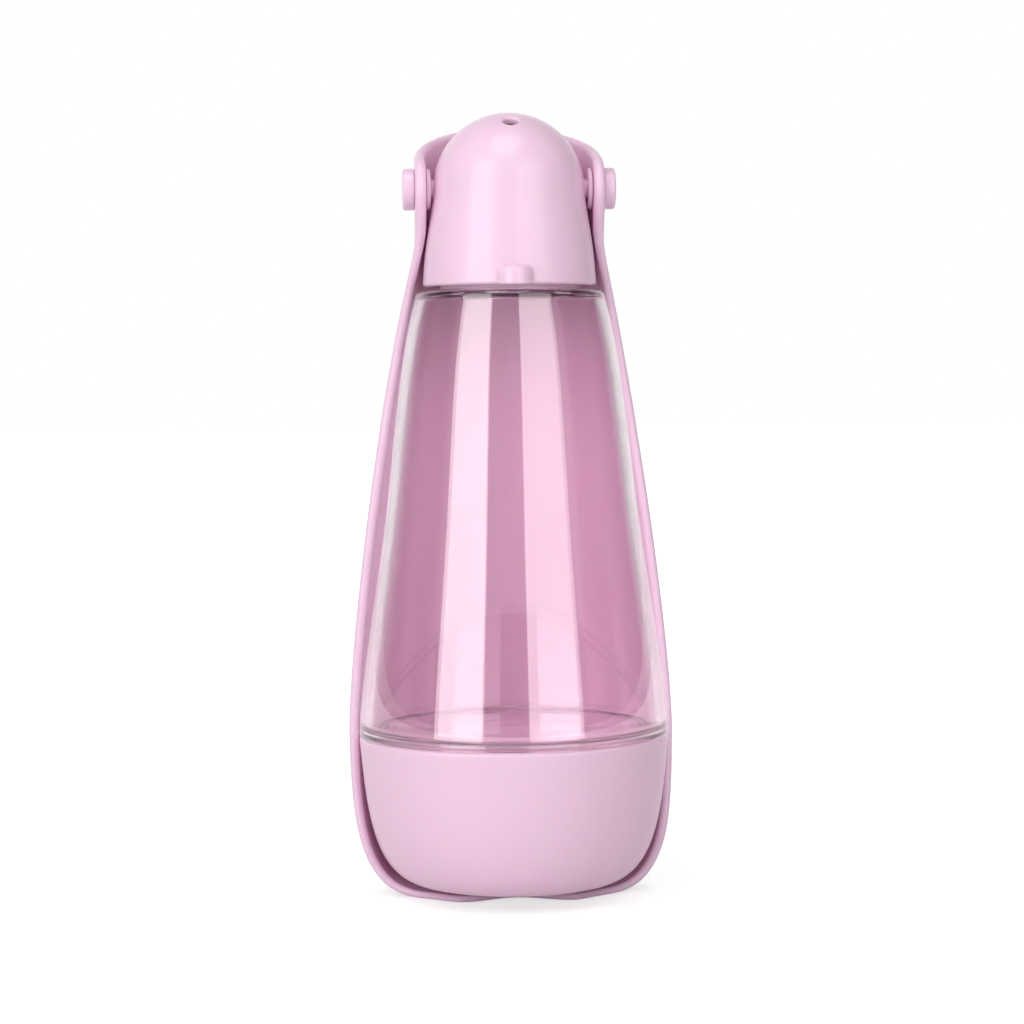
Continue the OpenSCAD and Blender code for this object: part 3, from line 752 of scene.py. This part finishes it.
from_left = add(world, "ShaderNodeMapRange",
                {"From Min": -1.0, "From Max": 1.0, "To Min": 0.6, "To Max": 0.15},
                {"Value": parts.outputs["X"]})
through = add(world, "ShaderNodeMath", {"operation": "MULTIPLY", 1: 1.6},
              {0: ray.outputs["Is Transmission Ray"]})
fill = add(world, "ShaderNodeMath", {"operation": "MAXIMUM"},
           {0: from_left.outputs["Result"], 1: through.outputs["Value"]})
scattered = add(world, "ShaderNodeMath", {"operation": "GREATER_THAN", 1: 0.5},
                {0: ray.outputs["Diffuse Depth"]})
level = add(world, "ShaderNodeMix", {"data_type": "RGBA"},
            {0: scattered.outputs[0], 6: card.outputs["Result"], 7: fill.outputs[0]})
room = add(world, "ShaderNodeBackground", {}, {"Color": level.outputs["Result"]})
world.node_tree.links.new(room.outputs[0], output.inputs["Surface"])


def softbox(name, place, aim, width, height, radiance):
    """A soft rectangular light at a place, turned to a point. All but the radiance are in metres."""
    light = bpy.data.lights.new(name, "AREA")
    light.shape = "RECTANGLE"
    light.size = width
    light.size_y = height
    light.energy = radiance * math.pi * width * height
    lamp = bpy.data.objects.new(name, light)
    lamp.location = place
    lamp.rotation_euler = (lamp.location - Vector(aim)).to_track_quat("Z", "Y").to_euler()
    bpy.context.scene.collection.objects.link(lamp)


# Two tall softboxes, whose reflections are the two pale stripes down the clear body, and a dim one overhead.
box_h = 1.2
box_away = 1.2
for name, azimuth, width, radiance in (("softbox_left", -45, 0.80, 2.5), ("softbox_right", 28, 0.90, 1.6)):
    turn = math.radians(azimuth)
    softbox(name, (box_away * math.sin(turn), -box_away * math.cos(turn), box_h / 2), (0, 0, box_h / 2),
            width, box_h, radiance)
softbox("softbox_overhead", (-0.1, -0.45, 1.3), (0, 0, 0.15), 0.7, 0.7, 2.2)

# The camera, where the photograph was taken from: a little left of the bottle's front and above its middle.
lens = bpy.data.cameras.new("camera")
lens.sensor_width = 36.0
lens.lens = 104.0
camera = bpy.data.objects.new("camera", lens)
camera.location = (-0.0627, -0.9, 0.1651)
aim = Vector((0.0001, 0, 0.1176)) - camera.location
roll = Matrix.Rotation(math.radians(-0.54), 4, "Z")
camera.matrix_world = (Matrix.Translation(camera.location) @ aim.to_track_quat("-Z", "Y").to_matrix().to_4x4()
                       @ roll)
bpy.context.scene.collection.objects.link(camera)
bpy.context.scene.camera = camera
bpy.context.scene.view_settings.view_transform = "Standard"

# Light goes on inside the thick clear foot and between the pink walls until it has faded.
light_paths = bpy.context.scene.cycles
light_paths.max_bounces = 24
light_paths.diffuse_bounces = 8
light_paths.glossy_bounces = 16
light_paths.transmission_bounces = 20
